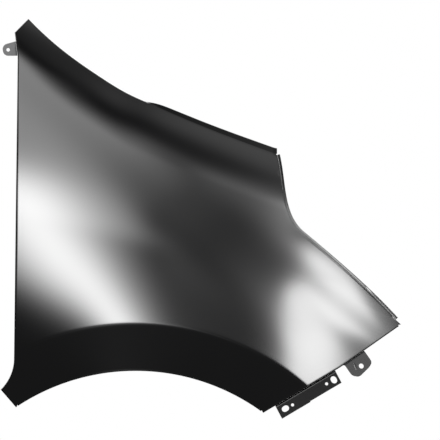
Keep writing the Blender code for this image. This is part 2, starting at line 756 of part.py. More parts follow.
def bent_bracket(name, axes, length, drop, outlines, group, cutters, frame, lean=0.0):
    """A bent strip trimmed to an outline of (along, outward) points, with holes."""
    place, along, outward, inboard = axes
    margin = 4 * BRACKET_SHEET
    middle = place + along * length / 2
    strip = extruded_outline(name, [bent_section(drop + margin, lean)], length + 2 * margin,
                             columns_matrix(middle, outward, inboard, along), group, frame)
    depth = 4 * (BRACKET_SETBACK + BRACKET_LEG)
    trimmer = extruded_outline(name + "_trim", outlines, depth,
                               columns_matrix(place, along, outward, inboard), cutters, frame)
    trimmer.hide_render = True
    trimmer.display_type = "WIRE"
    trim = strip.modifiers.new("outline", "BOOLEAN")
    trim.operation = "INTERSECT"
    trim.solver = "EXACT"
    trim.object = trimmer
    strip.data.materials.append(coat_material(name + "_coat", BRACKET_ROUGHNESS))
    return strip


def bumper_bracket_axes():
    return bracket_axes(ARCH_FRONT, BUMPER_KNEE, BUMPER_BRACKET_START, BUMPER_BRACKET_LENGTH)


def headlamp_tab_axes():
    return bracket_axes(BUMPER_KNEE, FRONT_TIP, LAMP_TAB_START, LAMP_TAB_WIDTH)


def pillar_tab_axes():
    return upright_axes(SHOULDER_CORNER, DOOR_EDGE_TOP, PILLAR_TAB_START, PILLAR_TAB_WIDTH)


def build_bumper_bracket(group, cutters, frame):
    length = BUMPER_BRACKET_LENGTH
    drop = BUMPER_BRACKET_DROP
    step = BUMPER_BRACKET_STEP
    edge = [(0.0, 0.0, 0), (length, 0.0, 0), (length - BUMPER_BRACKET_RAKE, drop - step, 0),
            (BUMPER_BRACKET_STEP_AT + step, drop - step, 0), (BUMPER_BRACKET_STEP_AT, drop, 0),
            (-BUMPER_BRACKET_RAKE, drop, 0)]
    outlines = [rounded_outline(edge),
                slot_outline(REAR_SLOT, SLOT_LENGTH, SLOT_WIDTH),
                slot_outline(REAR_PILOT, PILOT_HOLE, PILOT_HOLE),
                slot_outline(FRONT_PILOT, PILOT_HOLE, PILOT_HOLE),
                slot_outline(FRONT_SLOT, SLOT_LENGTH, SLOT_WIDTH, across=True)]
    bent_bracket("bumper_bracket", bumper_bracket_axes(), length, drop, outlines,
                 group, cutters, frame, BUMPER_BRACKET_LEAN)


def bead_tool(name, axes, depth, group, frame):
    """A half-sunk egg shape that presses the bead into the headlamp tab."""
    place, along, outward, inboard = axes
    spot = place + along * BEAD_AT[0] + outward * BEAD_AT[1] + inboard * depth
    turned = columns_matrix(spot, along, outward, inboard) @ Matrix.Rotation(
        math.radians(90 + BEAD_LEAN), 4, "Z")
    size = Matrix.Diagonal((BEAD_LENGTH / 2, BEAD_WIDTH / 2, BEAD_HEIGHT, 1.0))
    bm = bmesh.new()
    bmesh.ops.create_uvsphere(bm, u_segments=16, v_segments=8, radius=1.0, matrix=turned @ size)
    return add_cutter(name, bm, group, frame)


def build_headlamp_tab(group, cutters, frame):
    corner = LAMP_TAB_CORNER
    width = LAMP_TAB_WIDTH
    edge = [(0.0, 0.0, 0), (width, 0.0, 0), (width, LAMP_TAB_FRONT_DROP, LAMP_TAB_FRONT_RADIUS),
            (width - corner, LAMP_TAB_DROP - corner / 3, LAMP_TAB_LOWER_RADIUS),
            (corner, LAMP_TAB_DROP + corner / 10, LAMP_TAB_REAR_RADIUS),
            (0.0, LAMP_TAB_REAR_DROP, LAMP_TAB_REAR_RADIUS)]
    outlines = [rounded_outline(edge), slot_outline(LAMP_TAB_HOLE_AT, LAMP_TAB_HOLE, LAMP_TAB_HOLE)]
    axes = headlamp_tab_axes()
    tab = bent_bracket("headlamp_tab", axes, width, LAMP_TAB_DROP + corner, outlines,
                       group, cutters, frame)
    faces = (("bead_raised", "UNION", BRACKET_SETBACK + BEAD_SINK),
             ("bead_hollow", "DIFFERENCE", BRACKET_SETBACK + BRACKET_SHEET + BEAD_SINK))
    for name, operation, depth in faces:
        press = tab.modifiers.new(name, "BOOLEAN")
        press.operation = operation
        press.solver = "EXACT"
        press.object = bead_tool(name, axes, depth, cutters, frame)


def build_pillar_tab(group, cutters, frame):
    drop = PILLAR_TAB_HOLE_AT[1] + PILLAR_TAB_END_RADIUS
    radius = PILLAR_TAB_CORNER
    near = PILLAR_TAB_HOLE_AT[0] - PILLAR_TAB_END_RADIUS
    far = PILLAR_TAB_HOLE_AT[0] + PILLAR_TAB_END_RADIUS
    edge = [(0.0, 0.0, 0), (PILLAR_TAB_WIDTH, 0.0, 0), (far, drop, radius), (near, drop, radius)]
    outlines = [rounded_outline(edge, 8),
                slot_outline(PILLAR_TAB_HOLE_AT, PILLAR_TAB_HOLE, PILLAR_TAB_HOLE)]
    bent_bracket("hinge_pillar_tab", pillar_tab_axes(), PILLAR_TAB_WIDTH, drop, outlines,
                 group, cutters, frame)


def main():
    clear_scene()
    parts = add_collection(COLLECTION)
    cutters = add_collection(COLLECTION + "_cutters")
    net, _ = panel_net()
    frame = bpy.data.objects.new("seat_frame", None)
    frame.location = -front_seat(net)
    parts.objects.link(frame)

    build_panel(parts, cutters, frame)
    build_bumper_bracket(parts, cutters, frame)
    build_headlamp_tab(parts, cutters, frame)
    build_pillar_tab(parts, cutters, frame)
    bpy.context.view_layer.update()


main()
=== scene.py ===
"""Studio picture of a van's right front fender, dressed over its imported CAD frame.

The outer panel is modelled again from a fine grid, so that the folds, the crease over the wheel and
the reflections in the black coat run smoothly. The three brackets are the CAD pieces. The panel is
laid out in the side view with the wheel centre as zero, +X to the front, +Y inboard and +Z up, and
then set back to the front bolt seat. Lengths are in metres and angles in degrees.
"""
import math

import bmesh
import bpy
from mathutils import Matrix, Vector
from mathutils.geometry import interpolate_bezier


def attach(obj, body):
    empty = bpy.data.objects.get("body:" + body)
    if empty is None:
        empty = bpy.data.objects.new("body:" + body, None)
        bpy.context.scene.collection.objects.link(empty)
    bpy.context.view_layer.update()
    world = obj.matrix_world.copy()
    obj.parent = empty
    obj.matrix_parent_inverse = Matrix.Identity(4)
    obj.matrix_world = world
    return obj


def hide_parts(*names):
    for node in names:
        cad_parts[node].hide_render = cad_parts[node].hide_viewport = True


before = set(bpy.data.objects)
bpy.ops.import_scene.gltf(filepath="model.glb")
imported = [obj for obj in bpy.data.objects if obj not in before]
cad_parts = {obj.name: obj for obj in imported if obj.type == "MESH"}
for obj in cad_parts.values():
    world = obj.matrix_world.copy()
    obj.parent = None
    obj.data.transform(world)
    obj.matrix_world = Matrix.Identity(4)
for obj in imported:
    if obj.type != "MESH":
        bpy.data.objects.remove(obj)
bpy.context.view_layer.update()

# Place of the front bolt seat, which is the origin of the part, seen from the wheel centre
BOLT_SEAT = Vector((0.196490, 0.095315, 0.836461))

# Sheet
SHEET = 0.0008
FOLD_RADIUS = 0.0025
FOLD_SLACK = FOLD_RADIUS * (1 - math.sqrt(0.5))
CORNER_CUT = 0.25

# Wheel opening, and the crease above it
ARCH_RADIUS = 0.400
BAND_WIDTH = 0.089
CREASE_RADIUS = ARCH_RADIUS + BAND_WIDTH
CREASE_ROUNDING = 0.0011
ARCH_FRONT_ANGLE = 53.65
ARCH_REAR_ANGLE = 123.8

# Foot behind the wheel opening, and the door edge
FOOT_STEP = Vector((-0.0286, 0.0329))
DOOR_FOOT_STEP = Vector((0.0250, 0.0588))
FOOT_ARC_RADIUS = 0.080
DOOR_EDGE_TOP = Vector((-0.2194, 0.9850))
SHOULDER_CORNER = Vector((-0.2249, 1.0295))
HOOD_REAR_X = -0.1994

# Hood edge
HOOD_LINE_HEIGHT = 0.8867
HOOD_LINE_SLOPE = 0.334
HOOD_SWEEP_RISE = 0.0244
HOOD_SWEEP_LENGTH = 0.1397
HOOD_DIP = 0.0030
HOOD_DIP_X = -0.020
HOOD_DIP_WIDTH = 0.045
HOOD_FRONT_X = 0.2640

# Bumper edge and headlamp edge
BUMPER_REAR_RUN = Vector((0.1429, 0.0845))
BUMPER_FRONT_RUN = Vector((0.1136, 0.0797))
LAMP_BEND = Vector((0.3058, 0.6594))
LAMP_UPPER_PULL = (Vector((0.2765, 0.7493)), Vector((0.2699, 0.6952)))
LAMP_PULL_FROM_BEND = Vector((0.0642, -0.0534))
LAMP_PULL_FROM_TIP = Vector((-0.0576, 0.0646))

# Outer surface, as in the CAD source
LEVEL_HEIGHT = 0.750
FORWARD_TAPER = 0.110
PLAN_RADIUS = 1.305
PLAN_RADIUS_CHANGE = -0.770
LEAN = 0.200
BARREL_RADIUS = 0.553
BARREL_RADIUS_CHANGE = -1.264
TWIST = 0.085
SHOULDER_DROP = 0.0980
SHOULDER_RADIUS = 0.2325
FLARE_HEIGHT = 0.0092
FLARE_REACH = 0.0694
FLARE_REAR_X = -0.110
FLARE_FADE = 0.084
TUCK = 0.60
HOLLOW_POINT = (0.346, 0.511)
HOLLOW_ANGLE = 48.7
HOLLOW_OFFSET = -0.0240
HOLLOW_DEPTH = 0.00241
HOLLOW_WIDTH = 0.0598
GROOVE_ANGLE = 51.2
GROOVE_OFFSET = 0.0129
GROOVE_DEPTH = 0.00242
GROOVE_WIDTH = 0.0349
GROOVE_START = -0.0569
GROOVE_FADE = 0.050

# Flanges
ARCH_LIP = 0.016
DOOR_RETURN = 0.014
BUMPER_RETURN = 0.013
BUMPER_SEAT = 0.00027
LAMP_STEP = 0.0045
LAMP_LEDGE = 0.0034
LAMP_LEDGE_FLAT = 0.85
LAMP_EDGE_TURN = 0.0010
LAMP_UPPER_SLOPE = 0.27
LAMP_SLOPE_BLEND = 0.020
LAMP_TIP_TURN = 0.28
LAMP_TIP_X = 0.432
LAMP_TIP_BLEND = 0.008
HOOD_LEDGE = 0.024
HOOD_RISER_RUN = 0.0066
HOOD_RISER_FRONT = 0.0111
HOOD_RISER_TAPER = 0.013
HOOD_RISER_REAR = -0.004
HOOD_RISER_CHANGE_X = 0.0235
HOOD_RISER_BLEND = 0.022
HOOD_RISER_LEAN = 0.42
HOOD_RISER_LEAN_TAPER = 0.80
HOOD_RISER_PARTS = (0.10, 0.22, 0.78, 0.93)
HOOD_FOLD_RUN = 0.0016
HOOD_FOLD_PARTS = (0.5, 1.0, 2.0)
HOOD_FRONT_RELIEF = 0.0032
HOOD_FRONT_REACH = 0.0016
CORNER_RELIEF = 0.005
LAMP_LEDGE_RELIEF = 0.0135

# Holes in the flanges
HOOD_BOLT_HOLE = 0.0090
HOOD_PAD_CENTRES = (-0.120, 0.090, 0.214)
HOOD_PAD_LENGTH = 0.056
HOOD_HOLE_INSET = 0.0132
CLIP_HOLE = 0.0065
CLIP_ANGLES = (64.0, 77.0, 90.0, 103.0, 116.0)
DOOR_BOLT_HOLE = 0.0070
DOOR_BOLT_HEIGHTS = (0.520, 0.800)
DRILL_LENGTH = 0.012

# Grid of the panel
COLUMN_COUNT = 136
BUMPER_ROW_COUNT = 30
KNEE_ROW_COUNT = 11
LAMP_ROW_COUNT = 56
DOOR_TOP_ROW_COUNT = 8
CHAMFER_ROW_COUNT = 6
FOOT_ROW_COUNT = 6
FOOT_ARC_ROW_COUNT = 10
CREASE_ROWS_BELOW = (0.50, 0.80)
CREASE_ROWS_ABOVE = (0.20, 0.50)
PATH_POINTS = 400
CURVE_POINTS = 120
ARC_STEPS = 160
FOOT_ARC_STEPS = 40
HOOD_STEPS = 160
DRILL_SIDES = 32
SMOOTH_ANGLE = 30

# Picture: the width it shows, and its centre seen from the wheel centre
PHOTO_WIDTH = 0.8184
PHOTO_CENTRE = (0.15698, 0.68076)
CAMERA_DISTANCE = 3.0

# Floor
FLOOR_HEIGHT = -0.62
FLOOR_SIZE = 60.0
FLOOR_GREY = 0.80

# Coat: how fine its clouds, its grain and its orange peel are, and how far the index of its clear
# layer lies below that of the colour
CLOUD_SCALE = 9.0
GRAIN_SCALE = 900.0
PEEL_SCALE = 260.0
COAT_INDEX_STEP = 0.2


def at_angle(radius, angle):
    return Vector((radius * math.cos(math.radians(angle)), radius * math.sin(math.radians(angle))))


def angle_of(point):
    return math.degrees(math.atan2(point[1], point[0]))


ARCH_FRONT = at_angle(ARCH_RADIUS, ARCH_FRONT_ANGLE)
ARCH_REAR = at_angle(ARCH_RADIUS, ARCH_REAR_ANGLE)
FOOT_CORNER = ARCH_REAR + FOOT_STEP
DOOR_EDGE_FOOT = FOOT_CORNER + DOOR_FOOT_STEP
BUMPER_KNEE = ARCH_FRONT + BUMPER_REAR_RUN
FRONT_TIP = BUMPER_KNEE + BUMPER_FRONT_RUN


def blend(value, centre, width):
    """Goes smoothly from 0 to 1 round the centre."""
    return 0.5 * (1 + math.tanh((value - centre) / width))


def hood_height(x):
    inside = min(x, HOOD_FRONT_X)
    sweep = HOOD_SWEEP_RISE * math.exp(-inside / HOOD_SWEEP_LENGTH)
    dip = HOOD_DIP * math.exp(-((inside - HOOD_DIP_X) / HOOD_DIP_WIDTH) ** 2)
    slope = -HOOD_LINE_SLOPE - sweep / HOOD_SWEEP_LENGTH
    return HOOD_LINE_HEIGHT - HOOD_LINE_SLOPE * inside + sweep - dip + slope * (x - inside)


def hollow_place(x, z, angle):
    """How far a point of the side view lies along and off a line that runs down to the front."""
    down = math.radians(90 - angle)
    along = (x - HOLLOW_POINT[0]) * math.cos(down) - (z - HOLLOW_POINT[1]) * math.sin(down)
    off = (x - HOLLOW_POINT[0]) * math.sin(down) + (z - HOLLOW_POINT[1]) * math.cos(down)
    return along, off


def body_depth(x, z):
    rise = z - LEVEL_HEIGHT
    plan = 0.5 / PLAN_RADIUS + PLAN_RADIUS_CHANGE * rise
    barrel = 0.5 / BARREL_RADIUS + BARREL_RADIUS_CHANGE * x
    depth = FORWARD_TAPER * x + plan * x * x + LEAN * rise + barrel * rise * rise + TWIST * x * rise
    into_shoulder = max(SHOULDER_DROP - (hood_height(x) - z), 0.0)
    depth += into_shoulder ** 2 / (2 * SHOULDER_RADIUS)
    above_crease = math.hypot(x, z) - CREASE_RADIUS
    swell = FLARE_HEIGHT * math.exp(-above_crease / FLARE_REACH)
    depth -= swell * blend(x, FLARE_REAR_X, FLARE_FADE)
    _, off = hollow_place(x, z, HOLLOW_ANGLE)
    depth += HOLLOW_DEPTH * math.exp(-((off - HOLLOW_OFFSET) / HOLLOW_WIDTH) ** 2)
    along, off = hollow_place(x, z, GROOVE_ANGLE)
    groove = GROOVE_DEPTH * math.exp(-((off - GROOVE_OFFSET) / GROOVE_WIDTH) ** 2)
    return depth + groove * blend(along, GROOVE_START, GROOVE_FADE)


def skin_depth(x, z):
    """Depth of the outer surface, with the crease rounded as a press leaves it."""
    radius = math.hypot(x, z)
    below = CREASE_RADIUS - radius
    rounded = CREASE_ROUNDING * math.log1p(math.exp(-abs(below) / CREASE_ROUNDING))
    scale = max(CREASE_RADIUS / radius, 1.0)
    return body_depth(x * scale, z * scale) + TUCK * (max(below, 0.0) + rounded)


def skin(point):
    return Vector((point[0], skin_depth(point[0], point[1]), point[1]))


def line_to_circle(start, end, radius):
    along = (end - start).normalized()
    lead = start.dot(along)
    return start + along * (-lead + math.sqrt(lead * lead - start.length_squared + radius * radius))


def spread(path, count):
    """Points at even distances along a path, both ends included."""
    lengths = [0.0]
    for before, after in zip(path, path[1:]):
        lengths.append(lengths[-1] + (after - before).length)
    points = []
    place = 0
    for number in range(count + 1):
        target = lengths[-1] * number / count
        while place < len(path) - 2 and lengths[place + 1] < target:
            place += 1
        share = (target - lengths[place]) / (lengths[place + 1] - lengths[place])
        points.append(path[place].lerp(path[place + 1], share))
    return points


def relieved(path, count, before=0.0, after=0.0):
    """Points spread along a path, with a short first or last step where one is asked for."""
    length = sum((b - a).length for a, b in zip(path, path[1:]))
    fine = spread(path, PATH_POINTS)
    first = round(PATH_POINTS * before / length)
    last = PATH_POINTS - round(PATH_POINTS * after / length)
    points = spread(fine[first:last + 1], count)
    return fine[:1] * (first > 0) + points + fine[-1:] * (last < PATH_POINTS)


def bezier_path(start, pulls, end):
    corners = [Vector((p[0], p[1], 0.0)) for p in (start, pulls[0], pulls[1], end)]
    return [Vector((p.x, p.y)) for p in interpolate_bezier(*corners, CURVE_POINTS)]


def arc_path(radius, start, end):
    first = angle_of(start)
    sweep = angle_of(end) - first
    return [at_angle(radius, first + sweep * k / ARC_STEPS) for k in range(ARC_STEPS + 1)]


def foot_arc():
    chord = DOOR_EDGE_FOOT - FOOT_CORNER
    left = Vector((-chord.y, chord.x)).normalized()
    reach = math.sqrt(FOOT_ARC_RADIUS ** 2 - chord.length_squared / 4)
    centre = FOOT_CORNER + chord / 2 + left * reach
    first = angle_of(FOOT_CORNER - centre)
    sweep = angle_of(DOOR_EDGE_FOOT - centre) - first
    return [centre + at_angle(FOOT_ARC_RADIUS, first + sweep * k / FOOT_ARC_STEPS)
            for k in range(FOOT_ARC_STEPS + 1)]


def coons(bottom, top, left, right):
    """Fills four rows of boundary points with a net of side-view points, as net[row][column]."""
    rows = len(left) - 1
    columns = len(bottom) - 1
    net = []
    for j in range(rows + 1):
        v = j / rows
        line = []
        for i in range(columns + 1):
            u = i / columns
            ruled = bottom[i] * (1 - v) + top[i] * v + left[j] * (1 - u) + right[j] * u
            corners = (bottom[0] * (1 - u) + bottom[-1] * u) * (1 - v)
            corners += (top[0] * (1 - u) + top[-1] * u) * v
            line.append(ruled - corners)
        net.append(line)
    return net


def row_between(lower, upper, share):
    return [a.lerp(b, share) for a, b in zip(lower, upper)]


def panel_net():
    """Side-view points of the skin, row by row from the wheel opening up to the hood edge."""
    crease_front = line_to_circle(ARCH_FRONT, BUMPER_KNEE, CREASE_RADIUS)
    crease_rear = line_to_circle(DOOR_EDGE_FOOT, DOOR_EDGE_TOP, CREASE_RADIUS)
    hood_rear = Vector((HOOD_REAR_X, hood_height(HOOD_REAR_X)))
    hood_front = Vector((HOOD_FRONT_X, hood_height(HOOD_FRONT_X)))
    hood_run = HOOD_FRONT_X - HOOD_REAR_X
    hood_path = [Vector((x, hood_height(x))) for x in
                 (HOOD_REAR_X + hood_run * k / HOOD_STEPS for k in range(HOOD_STEPS + 1))]
    lower_pulls = (LAMP_BEND + LAMP_PULL_FROM_BEND, FRONT_TIP + LAMP_PULL_FROM_TIP)
    lamp_upper = bezier_path(hood_front, LAMP_UPPER_PULL, LAMP_BEND)
    lamp_lower = bezier_path(LAMP_BEND, lower_pulls, FRONT_TIP)
    lamp_path = list(reversed(lamp_upper + lamp_lower[1:]))

    relief = CORNER_RELIEF
    arch = relieved(arc_path(ARCH_RADIUS, ARCH_REAR, ARCH_FRONT), COLUMN_COUNT, relief, relief)
    crease = relieved(arc_path(CREASE_RADIUS, crease_rear, crease_front), COLUMN_COUNT, relief, relief)
    hood = relieved(hood_path, COLUMN_COUNT, relief, HOOD_FRONT_RELIEF)

    band_left = spread([ARCH_REAR, FOOT_CORNER], FOOT_ROW_COUNT)[:-1]
    band_left += spread(foot_arc(), FOOT_ARC_ROW_COUNT) + [crease_rear]
    band = coons(arch, crease, band_left, spread([ARCH_FRONT, crease_front], len(band_left) - 1))

    right = spread([crease_front, BUMPER_KNEE], KNEE_ROW_COUNT)[:-1]
    right += relieved([BUMPER_KNEE, FRONT_TIP], BUMPER_ROW_COUNT - KNEE_ROW_COUNT, 0.0, relief)[:-1]
    right += relieved(lamp_path, LAMP_ROW_COUNT, LAMP_LEDGE_RELIEF, 0.0)
    door_rows = len(right) - 1 - DOOR_TOP_ROW_COUNT - CHAMFER_ROW_COUNT
    left = spread([crease_rear, DOOR_EDGE_TOP], door_rows)[:-1]
    left += spread([DOOR_EDGE_TOP, SHOULDER_CORNER], DOOR_TOP_ROW_COUNT)[:-1]
    left += spread([SHOULDER_CORNER, hood_rear], CHAMFER_ROW_COUNT)
    main = coons(crease, hood, left, right)

    below = [row_between(band[-2], band[-1], share) for share in CREASE_ROWS_BELOW]
    above = [row_between(main[0], main[1], share) for share in CREASE_ROWS_ABOVE]
    return band[:-1] + below + main[:1] + above + main[1:]


def edge_outward(path, number):
    """Side-view direction out of the panel at a boundary point, with the panel on its left."""
    along = path[min(number + 1, len(path) - 1)] - path[max(number - 1, 0)]
    return Vector((along.y, -along.x)).normalized()


def boundary_runs(net):
    """The flanged stretches of the boundary, each as (row, column) places, the panel on its left."""
    last_row = len(net) - 1
    last_column = len(net[0]) - 1
    tip_row = min(range(len(net)), key=lambda j: (net[j][-1] - FRONT_TIP).length)
    return {
        "arch": [(0, i) for i in range(1, last_column)],
        "bumper": [(j, last_column) for j in range(0, tip_row)],
        "lamp": [(j, last_column) for j in range(tip_row + 1, last_row + 1)],
        "hood": [(last_row, i) for i in range(last_column - 1, 0, -1)],
        "door": [(j, 0) for j in range(last_row, -1, -1)],
    }


def fold_steps(depth, seat=0.0):
    """A flange that folds inboard, as (outward, inboard) steps, down onto a bracket's seat."""
    return [(FOLD_RADIUS - FOLD_SLACK, FOLD_SLACK), (FOLD_RADIUS, FOLD_RADIUS),
            (FOLD_RADIUS + seat, depth)]


def lamp_steps(point, outward):
    """The headlamp flange: a step inboard, a sloping ledge and a turned edge."""
    out = FOLD_RADIUS
    over = point + outward * LAMP_LEDGE
    skin_slope = (skin_depth(over.x, over.y) - skin_depth(point.x, point.y)) / LAMP_LEDGE
    share = blend(LAMP_BEND.y - point.y, 0.0, LAMP_SLOPE_BLEND)
    slope = LAMP_UPPER_SLOPE + (skin_slope - LAMP_UPPER_SLOPE) * share
    slope -= LAMP_TIP_TURN * blend(point.x, LAMP_TIP_X, LAMP_TIP_BLEND)
    foot = LAMP_STEP + FOLD_SLACK
    return [(out - FOLD_SLACK, FOLD_SLACK), (out, FOLD_RADIUS), (out, LAMP_STEP),
            (out + FOLD_SLACK, foot),
            (out + LAMP_LEDGE * LAMP_LEDGE_FLAT, foot + slope * LAMP_LEDGE * LAMP_LEDGE_FLAT),
            (out + LAMP_LEDGE, foot + slope * LAMP_LEDGE),
            (out + LAMP_LEDGE + LAMP_EDGE_TURN, foot + slope * LAMP_LEDGE + LAMP_EDGE_TURN)]


def hood_rise(x):
    """How far the hood ledge lies above the skin's edge: below it at the rear, above it in front."""
    share = blend(x, HOOD_RISER_CHANGE_X, HOOD_RISER_BLEND)
    front = HOOD_RISER_FRONT - HOOD_RISER_TAPER * (HOOD_FRONT_X - x)
    return HOOD_RISER_REAR + (front - HOOD_RISER_REAR) * share


def hood_steps(x, rise):
    """The hood flange as (inboard, up) steps: up a straight riser and onto the ledge."""
    share = blend(x, HOOD_RISER_CHANGE_X, HOOD_RISER_BLEND)
    lean = HOOD_RISER_LEAN + HOOD_RISER_LEAN_TAPER * (HOOD_FRONT_X - x)
    run = HOOD_RISER_RUN + (lean * rise - HOOD_RISER_RUN) * share
    riser = [(run * part, rise * part) for part in HOOD_RISER_PARTS]
    ledge = [(run + HOOD_FOLD_RUN * part, rise) for part in HOOD_FOLD_PARTS]
    return riser + ledge + [(HOOD_RISER_RUN + HOOD_LEDGE, rise)]


def bumper_return_depth(point):
    """Depth of the bumper flange's inner edge, which is straight from corner to corner."""
    corners = [ARCH_FRONT, BUMPER_KNEE, FRONT_TIP]
    start, end = corners[:2] if point.x <= BUMPER_KNEE[0] else corners[1:]
    share = (point.x - start.x) / (end.x - start.x)
    return skin(start).lerp(skin(end), share).y + BUMPER_RETURN


def hood_pads(hood_row):
    """The columns between which the hood ledge is pressed flat, as (first, last) for each bolt."""
    pads = []
    for centre in HOOD_PAD_CENTRES:
        inside = [i for i, p in enumerate(hood_row) if abs(p.x - centre) < HOOD_PAD_LENGTH / 2]
        pads.append((inside[0], inside[-1]))
    return pads


def ledge_line(hood_row, column):
    """Side-view place of the ledge at a column: on the hood edge, or on a pad's straight line."""
    for first, last in hood_pads(hood_row):
        if first <= column <= last:
            share = (hood_row[column].x - hood_row[first].x) / (hood_row[last].x - hood_row[first].x)
            ends = [Vector((hood_row[k].x, hood_row[k].y + hood_rise(hood_row[k].x)))
                    for k in (first, last)]
            return ends[0].lerp(ends[1], share)
    point = hood_row[column]
    return Vector((point.x, point.y + hood_rise(point.x)))


def round_corners(points):
    """Cuts every corner of a chain of points, and keeps its two ends."""
    softened = [points[0]]
    for number in range(1, len(points) - 1):
        softened.append(points[number].lerp(points[number - 1], CORNER_CUT))
        softened.append(points[number].lerp(points[number + 1], CORNER_CUT))
    return softened + [points[-1]]


def flange_chains(name, net, run):
    """For each boundary vertex of a run, the places that its flange passes through."""
    path = [net[j][i] for j, i in run]
    chains = []
    for number, point in enumerate(path):
        if name == "hood":
            start = skin(point)
            line = ledge_line(net[-1], run[number][1])
            reach = HOOD_FRONT_REACH if number == 0 else 0.0
            spots = [start + Vector((reach, y, z)) for y, z in hood_steps(point.x, line.y - point.y)]
        else:
            outward = edge_outward(path, number)
            start = skin(point - outward * FOLD_RADIUS)
            if name == "bumper":
                steps = fold_steps(bumper_return_depth(point) - start.y, BUMPER_SEAT)
            elif name == "lamp":
                steps = lamp_steps(point, outward)
            else:
                steps = fold_steps(ARCH_LIP if name == "arch" else DOOR_RETURN)
            spots = [start + Vector((outward.x * o, y, outward.y * o)) for o, y in steps]
        chains.append(round_corners(round_corners([start] + spots))[1:])
    return chains


def edit_grid(name, columns, rows):
    """Adds a flat grid by its operator, in edit mode, and gives its vertices by (row, column)."""
    bpy.ops.object.select_all(action="DESELECT")
    bpy.ops.mesh.primitive_grid_add(x_subdivisions=columns, y_subdivisions=rows, size=2.0)
    sheet = bpy.context.active_object
    sheet.name = name
    sheet.data.name = name
    bpy.ops.object.mode_set(mode="EDIT")
    mesh = bmesh.from_edit_mesh(sheet.data)
    return sheet, {(round((v.co.y + 1) / 2 * rows), round((v.co.x + 1) / 2 * columns)): v.index
                   for v in mesh.verts}


def fold_flange(sheet, run, chains):
    """Extrudes a run of edges step by step, and sets each new vertex on its chain."""
    for step in range(len(chains[0])):
        mesh = bmesh.from_edit_mesh(sheet.data)
        mesh.verts.ensure_lookup_table()
        bpy.ops.mesh.select_all(action="DESELECT")
        for first, second in zip(run, run[1:]):
            mesh.edges.get((mesh.verts[first], mesh.verts[second])).select_set(True)
        bmesh.update_edit_mesh(sheet.data)
        bpy.ops.mesh.extrude_edges_indiv()
        mesh = bmesh.from_edit_mesh(sheet.data)
        mesh.verts.ensure_lookup_table()
        fresh = []
        for number, chain in zip(run, chains):
            old = mesh.verts[number]
            new = next(e.other_vert(old) for e in old.link_edges if e.other_vert(old).select)
            new.co = chain[step] - BOLT_SEAT
            fresh.append(new.index)
        bmesh.update_edit_mesh(sheet.data)
        run = fresh


def build_panel():
    """The pressed sheet: a skin shaped from a grid, its flanges, its thickness and its holes."""
    net = panel_net()
    runs = boundary_runs(net)
    shown = {(j, i): point for j, row in enumerate(net) for i, point in enumerate(row)}
    for name in ("arch", "bumper", "lamp", "door"):
        path = [net[j][i] for j, i in runs[name]]
        for number, place in enumerate(runs[name]):
            shown[place] = path[number] - edge_outward(path, number) * FOLD_RADIUS

    panel, numbers = edit_grid("pressed_fender_panel", len(net[0]) - 1, len(net) - 1)
    mesh = bmesh.from_edit_mesh(panel.data)
    mesh.verts.ensure_lookup_table()
    for place, number in numbers.items():
        mesh.verts[number].co = skin(shown[place]) - BOLT_SEAT
    bmesh.update_edit_mesh(panel.data)
    for name, run in runs.items():
        fold_flange(panel, [numbers[place] for place in run], flange_chains(name, net, run))
    face_outboard(panel)
    bpy.ops.object.mode_set(mode="OBJECT")

    shell = panel.modifiers.new("sheet", "SOLIDIFY")
    shell.thickness = SHEET
    shell.offset = -1.0
    bpy.ops.object.modifier_apply(modifier=shell.name)
    for place, direction, diameter in flange_holes(net):
        drill_hole(panel, place - BOLT_SEAT, direction, diameter)
    return panel


def face_outboard(sheet):
    """Turns all faces the same way, with the outer face of the skin towards the camera side."""
    bpy.ops.mesh.select_all(action="SELECT")
    bpy.ops.mesh.normals_make_consistent(inside=False)
    mesh = bmesh.from_edit_mesh(sheet.data)
    mesh.faces.ensure_lookup_table()
    if mesh.faces[0].normal.y > 0:
        bpy.ops.mesh.flip_normals()


def hood_pad_frame(net, pad):
    """Centre of a pad's hole and the pad's normal."""
    ends = []
    for column in pad:
        line = ledge_line(net[-1], column)
        ends.append(Vector((line.x, skin(net[-1][column]).y, line.y)))
    along = (ends[1] - ends[0]).normalized()
    centre = (ends[0] + ends[1]) / 2 + Vector((0.0, HOOD_RISER_RUN + HOOD_HOLE_INSET, 0.0))
    return centre, along.cross(Vector((0.0, 1.0, 0.0))).normalized()


def flange_holes(net):
    """Each hole in the flanges, as its place, direction and diameter."""
    holes = []
    for pad in hood_pads(net[-1]):
        centre, normal = hood_pad_frame(net, pad)
        holes.append((centre, normal, HOOD_BOLT_HOLE))
    for angle in CLIP_ANGLES:
        edge = at_angle(ARCH_RADIUS, angle)
        depth = skin_depth(edge.x, edge.y) + (FOLD_RADIUS + ARCH_LIP) / 2
        holes.append((Vector((edge.x, depth, edge.y)), Vector((edge.x, 0.0, edge.y)), CLIP_HOLE))
    for height in DOOR_BOLT_HEIGHTS:
        share = (height - DOOR_EDGE_FOOT.y) / (DOOR_EDGE_TOP.y - DOOR_EDGE_FOOT.y)
        x = DOOR_EDGE_FOOT.lerp(DOOR_EDGE_TOP, share).x
        depth = skin_depth(x, height) + (FOLD_RADIUS + DOOR_RETURN) / 2
        holes.append((Vector((x, depth, height)), Vector((1.0, 0.0, 0.0)), DOOR_BOLT_HOLE))
    return holes


